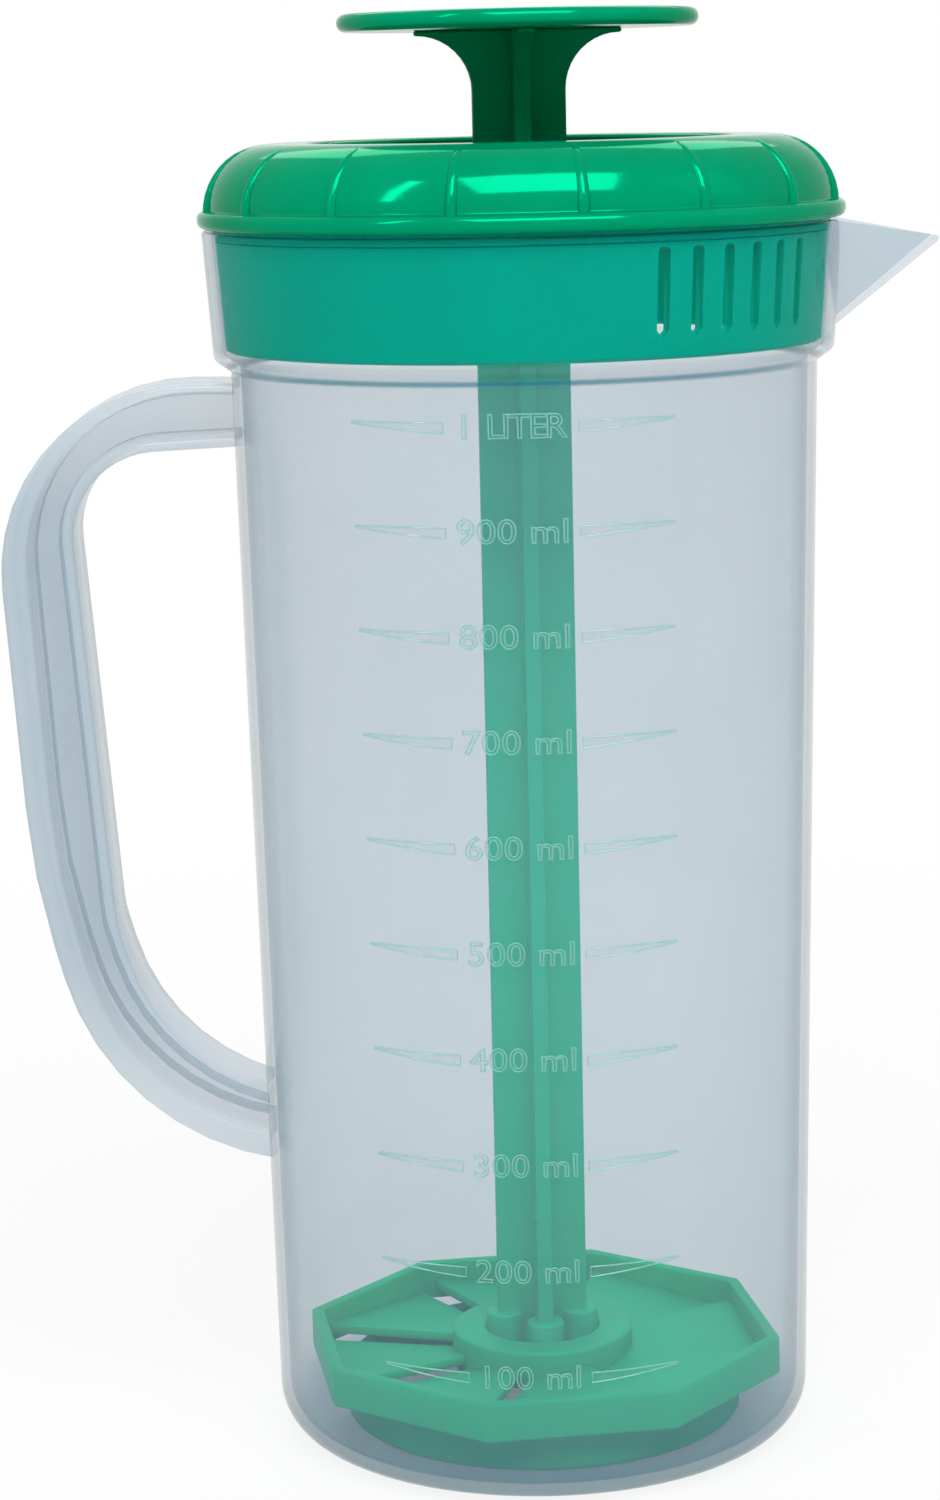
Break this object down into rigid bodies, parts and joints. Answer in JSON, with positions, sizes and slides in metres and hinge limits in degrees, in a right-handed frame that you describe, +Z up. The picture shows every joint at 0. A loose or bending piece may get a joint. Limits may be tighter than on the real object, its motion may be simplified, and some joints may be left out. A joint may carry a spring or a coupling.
{
  "type": "baby formula pitcher",
  "caption": "Tall round translucent jug with a V spout, an H-section handle, a ribbed strainer lid and a plunger with an octagonal mixing disc.",
  "frame": {"origin": "on the jug's axis, at the centre of the flat base that it stands on", "axes": "+Z up along the jug's axis, +X towards the spout, -X towards the handle, -Y towards the volume scale"},
  "size_m": [0.1513, 0.1034, 0.2336],
  "materials": {
    "milky_plastic": "translucent polypropylene, smooth",
    "lid_plastic": "glossy moulded",
    "plunger_plastic": "satin moulded",
    "seal": "matte silicone"
  },
  "bodies": {
    "jug": {"jug_body": "milky_plastic", "pour_spout": "milky_plastic", "jug_handle": "milky_plastic", "scale_marks": "milky_plastic"},
    "seal": {"seal_ring": "seal"},
    "lid": {"lid_cap": "lid_plastic", "strainer_collar": "lid_plastic"},
    "bush": {"guide_bush": "lid_plastic"},
    "mixer": {"plunger_shaft": "plunger_plastic", "push_knob": "plunger_plastic", "mixer_rim": "plunger_plastic", "mixer_hub": "plunger_plastic", "mixer_blades": "plunger_plastic", "lower_ring": "plunger_plastic"}
  },
  "joints": [
    {"name": "lid_lift", "type": "slide", "parent": "jug", "child": "seal", "axis": [0, 0, 1], "range_m": [0, 0.205]},
    {"name": "lid_turn", "type": "hinge", "parent": "seal", "child": "lid", "pos_m": [0, 0, 0.2], "axis": [0, 0, 1], "continuous": true},
    {"name": "mixer_turn", "type": "hinge", "parent": "lid", "child": "bush", "pos_m": [0, 0, 0.2], "axis": [0, 0, 1], "continuous": true},
    {"name": "plunger_stroke", "type": "slide", "parent": "bush", "child": "mixer", "axis": [0, 0, 1], "range_m": [0, 0.176]}
  ]
}
